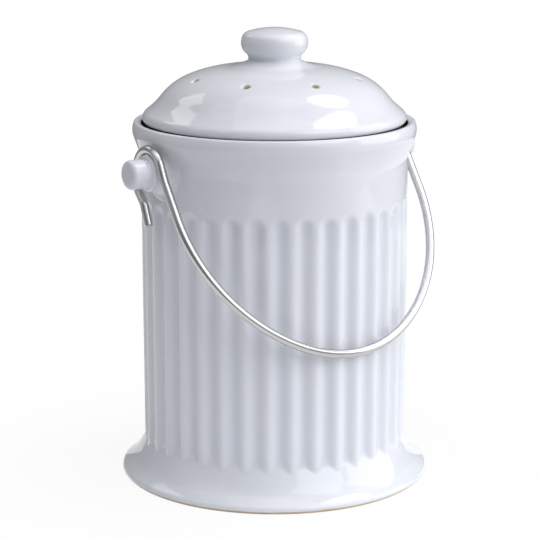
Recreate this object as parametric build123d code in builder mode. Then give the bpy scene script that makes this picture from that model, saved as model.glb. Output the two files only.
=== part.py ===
# Glazed ceramic compost caddy: a fluted crock with a flared foot, a loose domed lid that
# holds a charcoal filter, and a steel wire bail that swings on two lugs.
# Millimetres, +Z up. The origin is on the crock's axis, in the plane it stands on.
# X runs through the two lugs, and the bail rests against the front wall, at -Y.

from build123d import *

import os
from math import asin, atan2, cos, degrees, hypot, pi, radians, sin, tan

os.makedirs("parts", exist_ok=True)

# ---- crock: wall and rim ----
body_r = 81.6               # outer radius over the ribs and the plain neck
wall_thickness = 6.6        # at the ribs
floor_z = 8.0               # top of the floor
floor_corner_r = 9.0        # round where the wall meets the floor
seat_z = 218.5              # ledge that carries the lid
neck_bend_r = 27.0          # concave bend from the neck into the rim's flare
rim_lean = 20.0             # degrees that the flare leans outwards
rim_swell = 4.9             # how far the rolled rim stands out from the wall
rim_widest_drop = 3.5       # from the ledge down to the rim's widest point
rim_roll_r = 11.5
rim_roll_turn = 21.0        # degrees of the roll above the widest point
rim_top_r = 1.6             # round on top of the rim

# ---- crock: foot ----
foot_flange = 13.9          # how far the foot stands out from the wall
foot_bevel = 1.8            # bare bevel under the edge
foot_edge_z = 2.4           # height of the widest point
foot_edge_r = 2.8           # round on the upper edge of the foot
foot_edge_turn = 56.0
flare_r = 30.0              # concave sweep from the foot up to the ribs
flare_turn = 26.0
flare_top_depth = 1.3       # this deep in the ribs, a short concave round starts
flare_top_r = 10.0
flare_top_turn = 23.0
foot_ring_width = 11.5      # the ring that it stands on, with its bevel
foot_recess = 2.6           # hollow under the floor, inside that ring

# ---- crock: flutes ----
flute_count = 36
flute_depth = 2.2
flute_gap = 0.12            # from the end of a groove's wave to the middle of the rib
flute_top_drop = 50.0       # from the ledge down to the centre of a groove's rounded top
flute_start = 7.4           # degrees from +X to the first groove
flute_overcut = 0.05        # lifts the end of the wave just clear of the rib
flute_samples = 7           # points on half of the wave
groove_clearance = 1.0      # how far the cutting form stands out past the wall

# ---- lid ----
lid_inset = 6.2             # from the rim's widest point in to the lid's edge
lid_rim_gap = 0.9           # open line between the lid's edge and the rim
lid_under_r = 3.35          # round under the edge
lid_bead_r = 5.1
lid_bead_turn = 53.1
ogee_ratio = 0.6075         # radius of the dome's concave sweep, to the lid's radius
lid_ogee_turn = 14.8
shoulder_ratio = 0.4906
lid_shoulder_turn = 30.4
crown_ratio = 1.0872
crown_end_slope = 5.5       # degrees, where the crown sweeps up into the knob's foot
lid_wall = 5.0
lid_inside_slope = 20.0     # degrees at the outer end of the inside crown
skirt_clearance = 1.6       # between the skirt and the crock's inside
skirt_wall = 5.2
skirt_depth = 14.0
knob_neck_ratio = 0.1974    # radius of the knob's neck, to the lid's radius
knob_foot_slope = 24.0      # degrees, at the upper end of the sweep up from the crown
knob_foot_r = 2.0           # small round between that sweep and the neck
knob_overhang = 4.4         # from the neck out to the head's widest point
knob_under_lean = 51.7      # degrees from upright under the knob's head
knob_under_r = 3.6
knob_side_r = 12.2
knob_side_turn = 15.5
knob_edge_r = 5.4
knob_edge_turn = 58.0
knob_wall = 5.8             # at the neck
knob_hollow_rise = 13.5     # from the top of the dome to the top of the hollow
knob_hollow_round_r = 5.0
vent_count = 8
vent_r = 2.5
vent_ring_ratio = 0.66      # radius of the ring of vents, to the lid's radius
vent_tilt = 25.0            # degrees, square to the dome
vent_cut_length = 15.0      # each way from the dome's underside
lid_turned = -8.2           # degrees that the lid is turned on its seat

# ---- charcoal filter ----
filter_thickness = 9.0
filter_clearance = 0.3
filter_shelf_width = 4.0    # step inside the skirt that the filter is pushed up against
filter_shelf_drop = 2.0     # how far below the lid's seat that step lies
filter_edge_r = 1.2

# ---- lugs ----
lug_drop = 22.5             # from the ledge down to the lugs' axis
lug_neck_r = 10.9           # the bail's hooks turn on this
lug_flare_r = 6.0           # concave round that spreads the root over the wall
lug_waist_depth = 3.3       # from the neck down to the waist
lug_waist_width = 1.4
lug_shoulder_r = 1.2        # round on the outer end of the neck
lug_head_step = 1.2         # from the waist up to the head
lug_head_length = 11.9      # from the neck's end to the tip
lug_head_round_r = 2.4
lug_under_r = 2.0           # round under the head
lug_root_depth = 5.6        # starts this deep in the wall, then is cut to it

# ---- bail ----
hook_clearance = 0.3
wire_r = 2.6
wire_rim_clearance = 0.55   # as the arms pass the rim
wire_neck_margin = 0.35     # bare neck on each side of the wire
bail_drop = 133.4           # along the arms, from the lugs' axis to the bottom bend
bail_straight = 35.0        # straight part of that
bail_side_turn = 60.9       # degrees of the side bend, the bottom bend has the rest
bail_rest_gap = 0.3         # between the resting wire and the ribs
arm_inset = 1.45            # the arms run this much closer to the lugs' axis than the hooks
arm_bend_r = 40.0
leg_lean = 25.0             # degrees from straight down, where the hook ends in the arm
tail_points = [(-11.5, 0.0), (-19.3, 7.2), (-32.0, 12.4)]  # height, forward step
tail_bend_rs = [6.0, 5.0]

# ---- worked out from the values above ----
bore_r = body_r - wall_thickness
rim_r = body_r + rim_swell
rim_widest_z = seat_z - rim_widest_drop
foot_r = body_r + foot_flange
foot_ring_inside_r = foot_r - foot_ring_width
flare_top_start_r = body_r - flare_top_depth
flute_half_width = pi * body_r / flute_count - flute_gap
flute_top_z = seat_z - flute_top_drop
lid_r = rim_r - lid_inset
seat_r = lid_r + lid_rim_gap
lid_ogee_r = ogee_ratio * lid_r
lid_shoulder_r = shoulder_ratio * lid_r
lid_crown_r = crown_ratio * lid_r
knob_neck_r = knob_neck_ratio * lid_r
knob_r = knob_neck_r + knob_overhang
knob_hollow_r = knob_neck_r - knob_wall
vent_ring_r = vent_ring_ratio * lid_r
skirt_r = bore_r - skirt_clearance
skirt_inside_r = skirt_r - skirt_wall
filter_shelf_r = skirt_inside_r - filter_shelf_width
filter_top_z = seat_z - filter_shelf_drop
filter_r = skirt_inside_r - filter_clearance
lug_z = seat_z - lug_drop
lug_waist_r = lug_neck_r - lug_waist_depth
lug_head_r = lug_waist_r + lug_head_step
lug_root_x = body_r - lug_root_depth
hook_r = lug_neck_r + hook_clearance + wire_r
hook_x = rim_r + wire_r + wire_rim_clearance
neck_start_x = hook_x - wire_r - wire_neck_margin
neck_end_x = hook_x + wire_r + wire_neck_margin
arm_offset = hook_r - arm_inset
# The bottom bend rests on the front ribs: it reaches bail_reach forward of the lugs' axis.
bail_reach = body_r + bail_rest_gap + wire_r
bail_lean = degrees(asin(bail_reach / hypot(bail_drop, arm_offset)) - atan2(arm_offset, bail_drop))
bail_swing = 360 - 2 * degrees(asin(bail_reach / hypot(bail_drop, arm_offset)))
print("bail lean", round(bail_lean, 3), "swing", round(bail_swing, 3))


# ---- outer form of the crock, without its grooves and foot ----
rim_roll_start_r = rim_r - rim_roll_r * (1 - cos(radians(rim_lean)))
rim_roll_start_z = rim_widest_z - rim_roll_r * sin(radians(rim_lean))
flare_start_r = body_r + neck_bend_r * (1 - cos(radians(rim_lean)))
rim_flare_rise = (rim_roll_start_r - flare_start_r) / tan(radians(rim_lean))
neck_top_z = rim_roll_start_z - rim_flare_rise - neck_bend_r * sin(radians(rim_lean))

with BuildPart() as outer_form:
    with BuildSketch(Plane.XZ):
        with BuildLine():
            wall = Line((body_r, foot_recess), (body_r, neck_top_z))
            bend = JernArc(wall @ 1, wall % 1, neck_bend_r, -rim_lean)
            lean = Line(bend @ 1, (rim_roll_start_r, rim_roll_start_z))
            roll = JernArc(lean @ 1, bend % 1, rim_roll_r, rim_lean + rim_roll_turn)
            lip = JernArc(roll @ 1, roll % 1, rim_top_r, 90 - rim_roll_turn)
            TangentArc(lip @ 1, (seat_r, seat_z), tangent=lip % 1)
            Polyline((seat_r, seat_z), (0, seat_z), (0, foot_recess), wall @ 0)
        make_face()
    revolve(axis=Axis.Z)

# ---- one groove of the fluting, laid along +X, with a rounded top ----
wave_step = flute_half_width / (flute_samples - 1)
wave_half = []
for step in range(flute_samples):
    across = step * wave_step
    depth = flute_depth * (1 + cos(pi * across / flute_half_width)) / 2
    wave_r = body_r + flute_overcut - depth
    wave_half.append((wave_r * cos(across / body_r), wave_r * sin(across / body_r)))
wave_end_x, wave_end_y = wave_half[-1]
wave_tangents = [(0, 1), (-wave_end_y, wave_end_x)]
clear_x = body_r + groove_clearance
clear_y = wave_end_y + 2 * (clear_x - wave_end_x)

with BuildPart() as groove:
    with BuildSketch(Plane.XY.offset(foot_recess)):
        with BuildLine():
            half_wave = Spline(*wave_half, tangents=wave_tangents)
            half_end = Polyline(wave_half[-1], (clear_x, clear_y), (clear_x, 0))
            mirror([half_wave, half_end], about=Plane.XZ)
        make_face()
    extrude(amount=flute_top_z - foot_recess)
    with BuildSketch(Plane.XY.offset(flute_top_z)):
        with BuildLine():
            Spline(*wave_half, tangents=wave_tangents)
            Polyline(wave_half[-1], (clear_x, clear_y), (clear_x, 0), wave_half[0])
        make_face()
    revolve(axis=Axis((0, 0, flute_top_z), (1, 0, 0)), revolution_arc=180)

# ---- foot ----
with BuildPart() as foot:
    with BuildSketch(Plane.XZ):
        with BuildLine():
            edge = JernArc((foot_r, foot_edge_z), (0, 1), foot_edge_r, foot_edge_turn)
            sweep_up = JernArc(edge @ 1, edge % 1, flare_r, -flare_turn)
            top_heading = radians(90 + foot_edge_turn - flare_turn)
            top_run = (flare_top_start_r - (sweep_up @ 1).X) / cos(top_heading)
            slope = Line(sweep_up @ 1, sweep_up @ 1 + (sweep_up % 1) * top_run)
            top = JernArc(slope @ 1, slope % 1, flare_top_r, -flare_top_turn)
            Polyline(
                top @ 1,
                (bore_r, (top @ 1).Y),
                (bore_r, foot_recess),
                (foot_ring_inside_r, foot_recess),
                (foot_ring_inside_r, 0),
                (foot_r - foot_bevel, 0),
                (foot_r, foot_edge_z),
            )
        make_face()
    revolve(axis=Axis.Z)

# ---- crock ----
with BuildPart() as crock:
    add(outer_form.part)
    with PolarLocations(0, flute_count, start_angle=flute_start):
        add(groove.part, mode=Mode.SUBTRACT)
    add(foot.part)
    with BuildSketch(Plane.XZ):
        with BuildLine():
            FilletPolyline(
                (0, floor_z),
                (bore_r, floor_z),
                (bore_r, seat_z + skirt_depth),
                radius=floor_corner_r,
            )
            Polyline((bore_r, seat_z + skirt_depth), (0, seat_z + skirt_depth), (0, floor_z))
        make_face()
    revolve(axis=Axis.Z, mode=Mode.SUBTRACT)

crock.part.label = "crock"
export_step(crock.part, "parts/crock.step")
print("crock", crock.part.bounding_box(), "valid", crock.part.is_valid)

# ---- lugs: each is a round button on a neck, shaped to the wall it stands on ----
with BuildPart() as lug:
    with BuildSketch(Plane.XZ):
        with BuildLine():
            root = Line((lug_root_x, 0), (lug_root_x, lug_neck_r + lug_flare_r))
            spread = Line(root @ 1, (neck_start_x - lug_flare_r, lug_neck_r + lug_flare_r))
            flare = JernArc(spread @ 1, (0, -1), lug_flare_r, 90)
            neck = Line(flare @ 1, (neck_end_x - lug_shoulder_r, lug_neck_r))
            shoulder = JernArc(neck @ 1, (1, 0), lug_shoulder_r, -90)
            head_x = neck_end_x + lug_waist_width
            tip_x = neck_end_x + lug_head_length
            Polyline(
                shoulder @ 1,
                (neck_end_x, lug_waist_r),
                (head_x, lug_waist_r),
            )
            under = RadiusArc((head_x, lug_waist_r), (head_x + lug_waist_width, lug_head_r), lug_under_r)
            side = Line(under @ 1, (tip_x - lug_head_round_r, lug_head_r))
            cap = JernArc(side @ 1, (1, 0), lug_head_round_r, -90)
            Polyline(cap @ 1, (tip_x, 0), (lug_root_x, 0))
        make_face()
    revolve(axis=Axis.X)

with BuildPart() as right_lug:
    add(lug.part.moved(Location((0, 0, lug_z))))
    add(outer_form.part, mode=Mode.SUBTRACT)

with BuildPart() as left_lug:
    mirror(right_lug.part, about=Plane.YZ)

right_lug.part.label = "right_lug"
left_lug.part.label = "left_lug"
export_step(right_lug.part, "parts/right_lug.step")
export_step(left_lug.part, "parts/left_lug.step")
print("lugs", right_lug.part.bounding_box(), left_lug.part.bounding_box())

# ---- lid: a hollow dome and knob, thrown in one ----
with BuildPart() as lid:
    with BuildSketch(Plane.XZ):
        with BuildLine():
            rest = Line((skirt_r, seat_z), (lid_r - lid_under_r, seat_z))
            under_edge = JernArc(rest @ 1, (1, 0), lid_under_r, 90)
            bead = JernArc(under_edge @ 1, (0, 1), lid_bead_r, lid_bead_turn)
            ogee = JernArc(bead @ 1, bead % 1, lid_ogee_r, -lid_ogee_turn)
            dome = JernArc(ogee @ 1, ogee % 1, lid_shoulder_r, lid_shoulder_turn)
            dome_slope = 90 - lid_bead_turn + lid_ogee_turn - lid_shoulder_turn
            crown = JernArc(dome @ 1, dome % 1, lid_crown_r, dome_slope - crown_end_slope)
            crown_sin = sin(radians(crown_end_slope))
            crown_cos = cos(radians(crown_end_slope))
            crown_centre = crown @ 1 - Vector(crown_sin, crown_cos) * lid_crown_r
            foot_sin = sin(radians(knob_foot_slope))
            foot_run = (crown @ 1).X - knob_neck_r - knob_foot_r * (1 - foot_sin)
            foot_sweep_r = foot_run / (foot_sin - crown_sin)
            foot_sweep = JernArc(crown @ 1, crown % 1, foot_sweep_r, crown_end_slope - knob_foot_slope)
            knob_foot = JernArc(foot_sweep @ 1, foot_sweep % 1, knob_foot_r, knob_foot_slope - 90)
            out_sin = cos(radians(knob_under_lean))
            knob_head_r = (knob_r - knob_neck_r) / (1 - out_sin) - knob_under_r
            knob_under = JernArc(knob_foot @ 1, (0, 1), knob_under_r, -knob_under_lean)
            knob_out = JernArc(knob_under @ 1, knob_under % 1, knob_head_r, knob_under_lean)
            knob_side = JernArc(knob_out @ 1, (0, 1), knob_side_r, knob_side_turn)
            knob_edge = JernArc(knob_side @ 1, knob_side % 1, knob_edge_r, knob_edge_turn)
            knob_hollow_top = crown_centre.Y + lid_crown_r + knob_hollow_rise
            cap_turn = 90 - knob_side_turn - knob_edge_turn
            knob_cap_r = (knob_edge @ 1).X / sin(radians(cap_turn))
            knob_cap = JernArc(knob_edge @ 1, knob_edge % 1, knob_cap_r, cap_turn)
            Polyline(
                knob_cap @ 1,
                (0, seat_z - skirt_depth),
                (skirt_r, seat_z - skirt_depth),
                rest @ 0,
            )
        make_face()
    revolve(axis=Axis.Z)
    # Inside: a pocket for the filter, a dome, and the hollow of the knob.
    inside_r = lid_crown_r - lid_wall
    inside_x = crown_centre.X + inside_r * sin(radians(lid_inside_slope))
    inside_z = crown_centre.Y + inside_r * cos(radians(lid_inside_slope))
    side_r = (filter_shelf_r - inside_x) / (1 - sin(radians(lid_inside_slope)))
    with BuildSketch(Plane.XZ):
        with BuildLine():
            flat_z = crown_centre.Y + inside_r
            ceiling = Line((knob_hollow_r, flat_z), (crown_centre.X, flat_z))
            arch = JernArc(ceiling @ 1, (1, 0), inside_r, -lid_inside_slope)
            haunch = JernArc(arch @ 1, arch % 1, side_r, lid_inside_slope - 90)
            Polyline(
                haunch @ 1,
                (filter_shelf_r, filter_top_z),
                (skirt_inside_r, filter_top_z),
                (skirt_inside_r, seat_z - skirt_depth),
                (0, seat_z - skirt_depth),
                (0, knob_hollow_top),
            )
            FilletPolyline(
                (0, knob_hollow_top),
                (knob_hollow_r, knob_hollow_top),
                ceiling @ 0,
                radius=knob_hollow_round_r,
            )
        make_face()
    revolve(axis=Axis.Z, mode=Mode.SUBTRACT)
# Vents: a ring of small holes, square to the dome.
vent_z = inside_z - (vent_ring_r - inside_x) * tan(radians(lid_inside_slope))
vent_dir = (sin(radians(vent_tilt)), 0, cos(radians(vent_tilt)))
with BuildPart() as vent:
    with BuildSketch(Plane((vent_ring_r, 0, vent_z), z_dir=vent_dir)):
        Circle(vent_r)
    extrude(amount=vent_cut_length, both=True)

with BuildPart() as pierced_lid:
    add(lid.part)
    with PolarLocations(0, vent_count, start_angle=lid_turned):
        add(vent.part, mode=Mode.SUBTRACT)

pierced_lid.part.label = "lid"
export_step(pierced_lid.part, "parts/lid.step")
print("lid", pierced_lid.part.bounding_box(), "solids", len(pierced_lid.part.solids()))

# ---- charcoal filter ----
with BuildPart() as charcoal_filter:
    with BuildSketch(Plane.XY.offset(filter_top_z - filter_thickness)):
        Circle(filter_r)
    extrude(amount=filter_thickness)
    fillet(charcoal_filter.edges(), filter_edge_r)

charcoal_filter.part.label = "charcoal_filter"
export_step(charcoal_filter.part, "parts/charcoal_filter.step")

# ---- bail ----
side_c = cos(radians(bail_side_turn))
side_s = sin(radians(bail_side_turn))
bent_drop = bail_drop - bail_straight
bail_det = 1 - side_c - side_s
bail_side_r = (hook_x * (1 - side_s) - side_c * bent_drop) / bail_det
bail_bottom_r = ((1 - side_c) * bent_drop - side_s * hook_x) / bail_det
print("bail radii", round(bail_side_r, 2), round(bail_bottom_r, 2))

# In the hook's plane, x is forward and y is up, both from the lugs' axis.
arm_turn = radians(bail_lean - leg_lean)
leg_corner = (hook_r * cos(arm_turn) - arm_offset) / sin(arm_turn)
leg_length = leg_corner - arm_bend_r * tan(arm_turn / 2)
lean_s = sin(radians(bail_lean))
lean_c = cos(radians(bail_lean))
leg_c = cos(radians(leg_lean))
leg_s = sin(radians(leg_lean))
hook_plane = Plane((hook_x, 0, lug_z), x_dir=(0, -1, 0), z_dir=(-1, 0, 0))
arm_end = (arm_offset * lean_c + bail_straight * lean_s, arm_offset * lean_s - bail_straight * lean_c)
arm_plane = Plane(
    (hook_x, -arm_end[0], lug_z + arm_end[1]),
    x_dir=(1, 0, 0),
    z_dir=(0, -lean_c, lean_s),
)

with BuildLine() as hook_line:
    hook_top = CenterArc((0, 0), hook_r, leg_lean, 180 - leg_lean)
    leg = Line(hook_top @ 0, hook_top @ 0 + Vector(leg_s, -leg_c) * leg_length)
    arm_bend = JernArc(leg @ 1, (leg_s, -leg_c), arm_bend_r, degrees(arm_turn))
    Line(arm_bend @ 1, arm_end)
    FilletPolyline(
        hook_top @ 1,
        *[(forward - hook_r, height) for height, forward in tail_points],
        radius=tail_bend_rs,
    )

with BuildLine() as arm_line:
    side_bend = JernArc((0, 0), (0, -1), bail_side_r, -bail_side_turn)
    JernArc(side_bend @ 1, side_bend % 1, bail_bottom_r, bail_side_turn - 90)

hook_edges = hook_plane.from_local_coords(hook_line.line).edges()
arm_edges = arm_plane.from_local_coords(arm_line.line).edges()
half_path = Wire(hook_edges + arm_edges)

with BuildPart() as bail_handle:
    with BuildSketch(Plane(half_path @ 0, z_dir=half_path % 0)):
        Circle(wire_r)
    sweep(path=half_path)
    mirror(about=Plane.YZ)

bail_handle.part.label = "bail_handle"
export_step(bail_handle.part, "parts/bail_handle.step")
print("bail", bail_handle.part.bounding_box(), "solids", len(bail_handle.part.solids()))
print("section", round(bail_handle.part.volume / (2 * half_path.length * pi * wire_r ** 2), 5))
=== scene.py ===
# Compost caddy: glazed crock with 36 flutes, two lugs, a loose domed lid, a felt filter and a
# wire bail. Lengths are millimetres until the meshes are made. +Z is up and -Y is the front.
import math

import bpy
import numpy as np
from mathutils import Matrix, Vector


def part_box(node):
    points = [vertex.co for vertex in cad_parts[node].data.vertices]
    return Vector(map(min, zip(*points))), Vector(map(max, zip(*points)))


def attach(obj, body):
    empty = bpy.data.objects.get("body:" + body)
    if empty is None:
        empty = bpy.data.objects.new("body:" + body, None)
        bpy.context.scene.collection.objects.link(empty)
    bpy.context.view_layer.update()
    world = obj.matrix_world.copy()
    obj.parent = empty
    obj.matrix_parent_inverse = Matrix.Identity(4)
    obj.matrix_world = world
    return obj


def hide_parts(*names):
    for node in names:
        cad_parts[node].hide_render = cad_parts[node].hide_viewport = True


mm = 0.001

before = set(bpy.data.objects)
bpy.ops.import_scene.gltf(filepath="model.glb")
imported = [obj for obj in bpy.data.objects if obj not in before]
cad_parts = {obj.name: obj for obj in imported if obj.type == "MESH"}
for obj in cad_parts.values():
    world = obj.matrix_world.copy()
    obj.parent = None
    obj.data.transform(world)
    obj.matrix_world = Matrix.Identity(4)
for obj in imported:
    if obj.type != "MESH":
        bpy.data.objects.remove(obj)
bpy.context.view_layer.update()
print("stage: frame loaded", sorted(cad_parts))


def boxMm(node):
    low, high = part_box(node)
    return np.array(low) / mm, np.array(high) / mm


# Each move is ("line", length, 0) or ("arc", radius, degrees), and a left turn is positive.
# Returns the points and the last heading.
def chain(start, heading, moves, step=0.8):
    coarsestTurn = 8
    points = [np.array(start, float)]
    for kind, size, turn in moves:
        angle = math.radians(heading)
        if kind == "line":
            count = max(1, math.ceil(size / step))
            along = np.array([math.cos(angle), math.sin(angle)]) * size / count
            for _ in range(count):
                points.append(points[-1] + along)
            continue
        count = math.ceil(abs(math.radians(turn)) * size / step)
        count = max(2, count, math.ceil(abs(turn) / coarsestTurn))
        side = math.copysign(1, turn)
        centre = points[-1] + side * size * np.array([-math.sin(angle), math.cos(angle)])
        for i in range(1, count + 1):
            swept = angle + math.radians(turn) * i / count
            points.append(centre + side * size * np.array([math.sin(swept), -math.cos(swept)]))
        heading += turn
    return np.array(points), heading


# The moves along a polyline whose inner corners are rounded to these radii.
def filletedMoves(corners, radii):
    moves = []
    cut = 0.0
    start = corners[0]
    headings = [
        math.degrees(math.atan2(b[1] - a[1], b[0] - a[0])) for a, b in zip(corners, corners[1:])
    ]
    for i, corner in enumerate(corners[1:]):
        length = math.dist(start, corner)
        if i < len(radii):
            turn = (headings[i + 1] - headings[i] + 180) % 360 - 180
            nextCut = radii[i] * math.tan(math.radians(abs(turn) / 2))
            moves.append(("line", length - cut - nextCut, 0))
            moves.append(("arc", radii[i], turn))
            cut = nextCut
        else:
            moves.append(("line", length - cut, 0))
        start = corner
    return moves


def makeObject(name, vertices, faces, body, material, *replaced):
    mesh = bpy.data.meshes.new(name)
    mesh.from_pydata([tuple(v) for v in np.asarray(vertices) * mm], [], faces)
    mesh.validate()
    mesh.polygons.foreach_set("use_smooth", [True] * len(mesh.polygons))
    mesh.materials.append(material)
    obj = bpy.data.objects.new(name, mesh)
    bpy.context.scene.collection.objects.link(obj)
    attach(obj, body)
    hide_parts(*replaced)
    return obj


# Joins each ring of points to the next, apart from the (row, column) cells in skip.
def gridFaces(rowCount, columns, skip=()):
    faces = []
    for i in range(rowCount - 1):
        low, high = i * columns, (i + 1) * columns
        for j in range(columns):
            k = (j + 1) % columns
            if (i, j) not in skip:
                faces.append((low + j, low + k, high + k, high + j))
    return faces


def closeEnds(vertices, faces, columns, rowCount, startPoint, endPoint):
    first = len(vertices)
    vertices = np.vstack([vertices, startPoint, endPoint])
    last = (rowCount - 1) * columns
    for j in range(columns):
        k = (j + 1) % columns
        faces.append((first, k, j))
        faces.append((first + 1, last + j, last + k))
    return vertices, faces


# Turns a profile of (radius, height) points about the Z axis.
def revolved(profile, columns):
    angles = np.linspace(0, 2 * np.pi, columns, endpoint=False)
    radius = profile[:, 0][:, None]
    height = np.repeat(profile[:, 1][:, None], columns, 1)
    return np.stack([radius * np.cos(angles), radius * np.sin(angles), height], 2)


def colour(code):
    parts = [int(code[i : i + 2], 16) / 255 for i in (1, 3, 5)]
    return [p / 12.92 if p <= 0.04045 else ((p + 0.055) / 1.055) ** 2.4 for p in parts] + [1.0]


# A Mix node has a set of sockets for each kind of value, so they go by number.
mixFactor, numberA, numberB, colourA, colourB = 0, 2, 3, 6, 7
numberMixed, colourMixed = 0, 2


def addNode(tree, kind, output, inputs, **settings):
    node = tree.nodes.new("ShaderNode" + kind)
    for key, value in settings.items():
        setattr(node, key, value)
    for key, value in inputs.items():
        if isinstance(value, bpy.types.NodeSocket):
            tree.links.new(value, node.inputs[key])
        else:
            node.inputs[key].default_value = value
    return node if output is None else node.outputs[output]


def newMaterial(name):
    material = bpy.data.materials.new(name)
    material.use_nodes = True
    material.node_tree.nodes.clear()
    return material, material.node_tree


# Stoneware under a cool white glaze, fired glossy. It pools a little deeper in the hollows,
# has a few pinholes, and lies in slow ripples that bend what it mirrors. Each grain has the
# size of its spots, its detail and, in "spans", the range of noise that is stretched to a range
# of values.
glazeLook = {
    "ior": 1.52,
    "white": "#EEF0F5",
    "clouded": "#E9EBF1",
    "pooled": "#E1E4EC",
    "pinhole": "#B9B2A6",
    "clay": ("#CDB48C", "#DFCBAA"),  # where it was wiped off the standing ring
    "clayRoughness": 0.85,
    "grains": {
        "cloud": (45.0, 3.0),
        "pinhole": (1.6, 1.0),
        "ripple": (16.0, 1.0),
        "peel": (2.2, 1.0),
        "wipe": (22.0, 2.0),
        "grit": (0.5, 3.0),
        "gloss": (9.0, 2.0),
    },
    "spans": {
        "cloud": (0.3, 0.7, 0.0, 1.0),
        "pinhole": (0.76, 0.80, 0.0, 0.12),
        "wipe": (0.3, 0.7, -0.25 * mm, 0.25 * mm),
        "grit": (0.35, 0.65, 0.0, 1.0),
        "gloss": (0.3, 0.7, 0.03, 0.07),
    },
    "rippleDepth": 0.05,
    "peelDepth": 0.003,
    "gritDepth": 0.12,
    "wipeBlur": 0.15,
}


def whiteGlaze(name, bareBelow):
    s = glazeLook
    material, tree = newMaterial(name)
    point = addNode(tree, "TexCoord", "Object", {})
    grain = {}
    for key, (size, detail) in s["grains"].items():
        inputs = {"Vector": point, "Scale": 1 / (size * mm), "Detail": detail}
        grain[key] = addNode(tree, "TexNoise", "Fac", inputs)
    spread = {}
    for key, (low, high, start, end) in s["spans"].items():
        inputs = {"Value": grain[key], "From Min": low, "From Max": high}
        inputs.update({"To Min": start, "To Max": end})
        spread[key] = addNode(tree, "MapRange", "Result", inputs)
    pool = addNode(tree, "Attribute", "Fac", {}, attribute_name="glazePool")
    base = colour(s["clouded"])
    tints = {"white": spread["cloud"], "pooled": pool, "pinhole": spread["pinhole"]}
    for tint, share in tints.items():
        base = {mixFactor: share, colourA: base, colourB: colour(s[tint])}
        base = addNode(tree, "Mix", colourMixed, base, data_type="RGBA")
    ripple = {"Height": grain["ripple"], "Distance": s["rippleDepth"] * mm}
    ripple = addNode(tree, "Bump", "Normal", ripple)
    peel = {"Height": grain["peel"], "Distance": s["peelDepth"] * mm, "Normal": ripple}
    peel = addNode(tree, "Bump", "Normal", peel)
    # The wiped edge of the glaze is uneven.
    height = addNode(tree, "SeparateXYZ", "Z", {"Vector": point})
    edge = addNode(tree, "Math", "Value", {0: height, 1: spread["wipe"]}, operation="ADD")
    bare = {
        "Value": edge,
        "From Min": (bareBelow - s["wipeBlur"]) * mm,
        "From Max": (bareBelow + s["wipeBlur"]) * mm,
        "To Min": 1.0,
        "To Max": 0.0,
    }
    bare = addNode(tree, "MapRange", "Result", bare)
    clay = {mixFactor: spread["grit"], colourA: colour(s["clay"][0]), colourB: colour(s["clay"][1])}
    clay = addNode(tree, "Mix", colourMixed, clay, data_type="RGBA")
    base = {mixFactor: bare, colourA: base, colourB: clay}
    dull = {mixFactor: bare, numberA: spread["gloss"], numberB: s["clayRoughness"]}
    gritty = addNode(tree, "Math", "Value", {0: grain["grit"], 1: bare}, operation="MULTIPLY")
    gritty = {"Height": gritty, "Distance": s["gritDepth"] * mm, "Normal": peel}
    shader = {
        "Base Color": addNode(tree, "Mix", colourMixed, base, data_type="RGBA"),
        "Roughness": addNode(tree, "Mix", numberMixed, dull),
        "IOR": s["ior"],
        "Normal": addNode(tree, "Bump", "Normal", gritty),
    }
    shader = addNode(tree, "BsdfPrincipled", "BSDF", shader)
    addNode(tree, "OutputMaterial", None, {"Surface": shader})
    return material


# Fired stoneware without glaze: matt and gritty, buff inside the vents. Where the lid and the ledge
# meet it is bare clay coloured near-black as painted shade of the gap between them.
clayLook = {
    "vents": ("#E6D8BE", "#F2E8D4"),
    # The ledge colours are near-black painted shade for the gap between the lid and the rim.
    "ledge": ("#2B2622", "#3F3831"),
    "grit": 0.5,
    "detail": 3.0,
    "span": (0.35, 0.65),
    "gritDepth": 0.1,
    "roughness": 0.85,
}


def bareClay(name, place):
    s = clayLook
    material, tree = newMaterial(name)
    point = addNode(tree, "TexCoord", "Object", {})
    grit = {"Vector": point, "Scale": 1 / (s["grit"] * mm), "Detail": s["detail"]}
    grit = addNode(tree, "TexNoise", "Fac", grit)
    sharp = {"Value": grit, "From Min": s["span"][0], "From Max": s["span"][1]}
    sharp = addNode(tree, "MapRange", "Result", sharp)
    base = {mixFactor: sharp, colourA: colour(s[place][0]), colourB: colour(s[place][1])}
    gritty = {"Height": grit, "Distance": s["gritDepth"] * mm}
    shader = {
        "Base Color": addNode(tree, "Mix", colourMixed, base, data_type="RGBA"),
        "Roughness": s["roughness"],
        "Normal": addNode(tree, "Bump", "Normal", gritty),
    }
    shader = addNode(tree, "BsdfPrincipled", "BSDF", shader)
    addNode(tree, "OutputMaterial", None, {"Surface": shader})
    return material


# Drawn stainless wire, belt-brushed along its length, so that it mirrors in long soft streaks.
# Its UV map is in millimetres along and around, and it is duller in patches.
wireLook = {
    "dark": "#B4B3B2",
    "light": "#DADADB",
    "streak": (0.02, 9.0, 1.0),  # streaks to a millimetre, along and around
    "streakDetail": 4.0,
    "streakDepth": 0.002,
    "patch": 12.0,
    "patchDetail": 3.0,
    "span": (0.3, 0.7),
    "roughness": (0.15, 0.21),
    "patchRoughness": 0.05,
}


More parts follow.
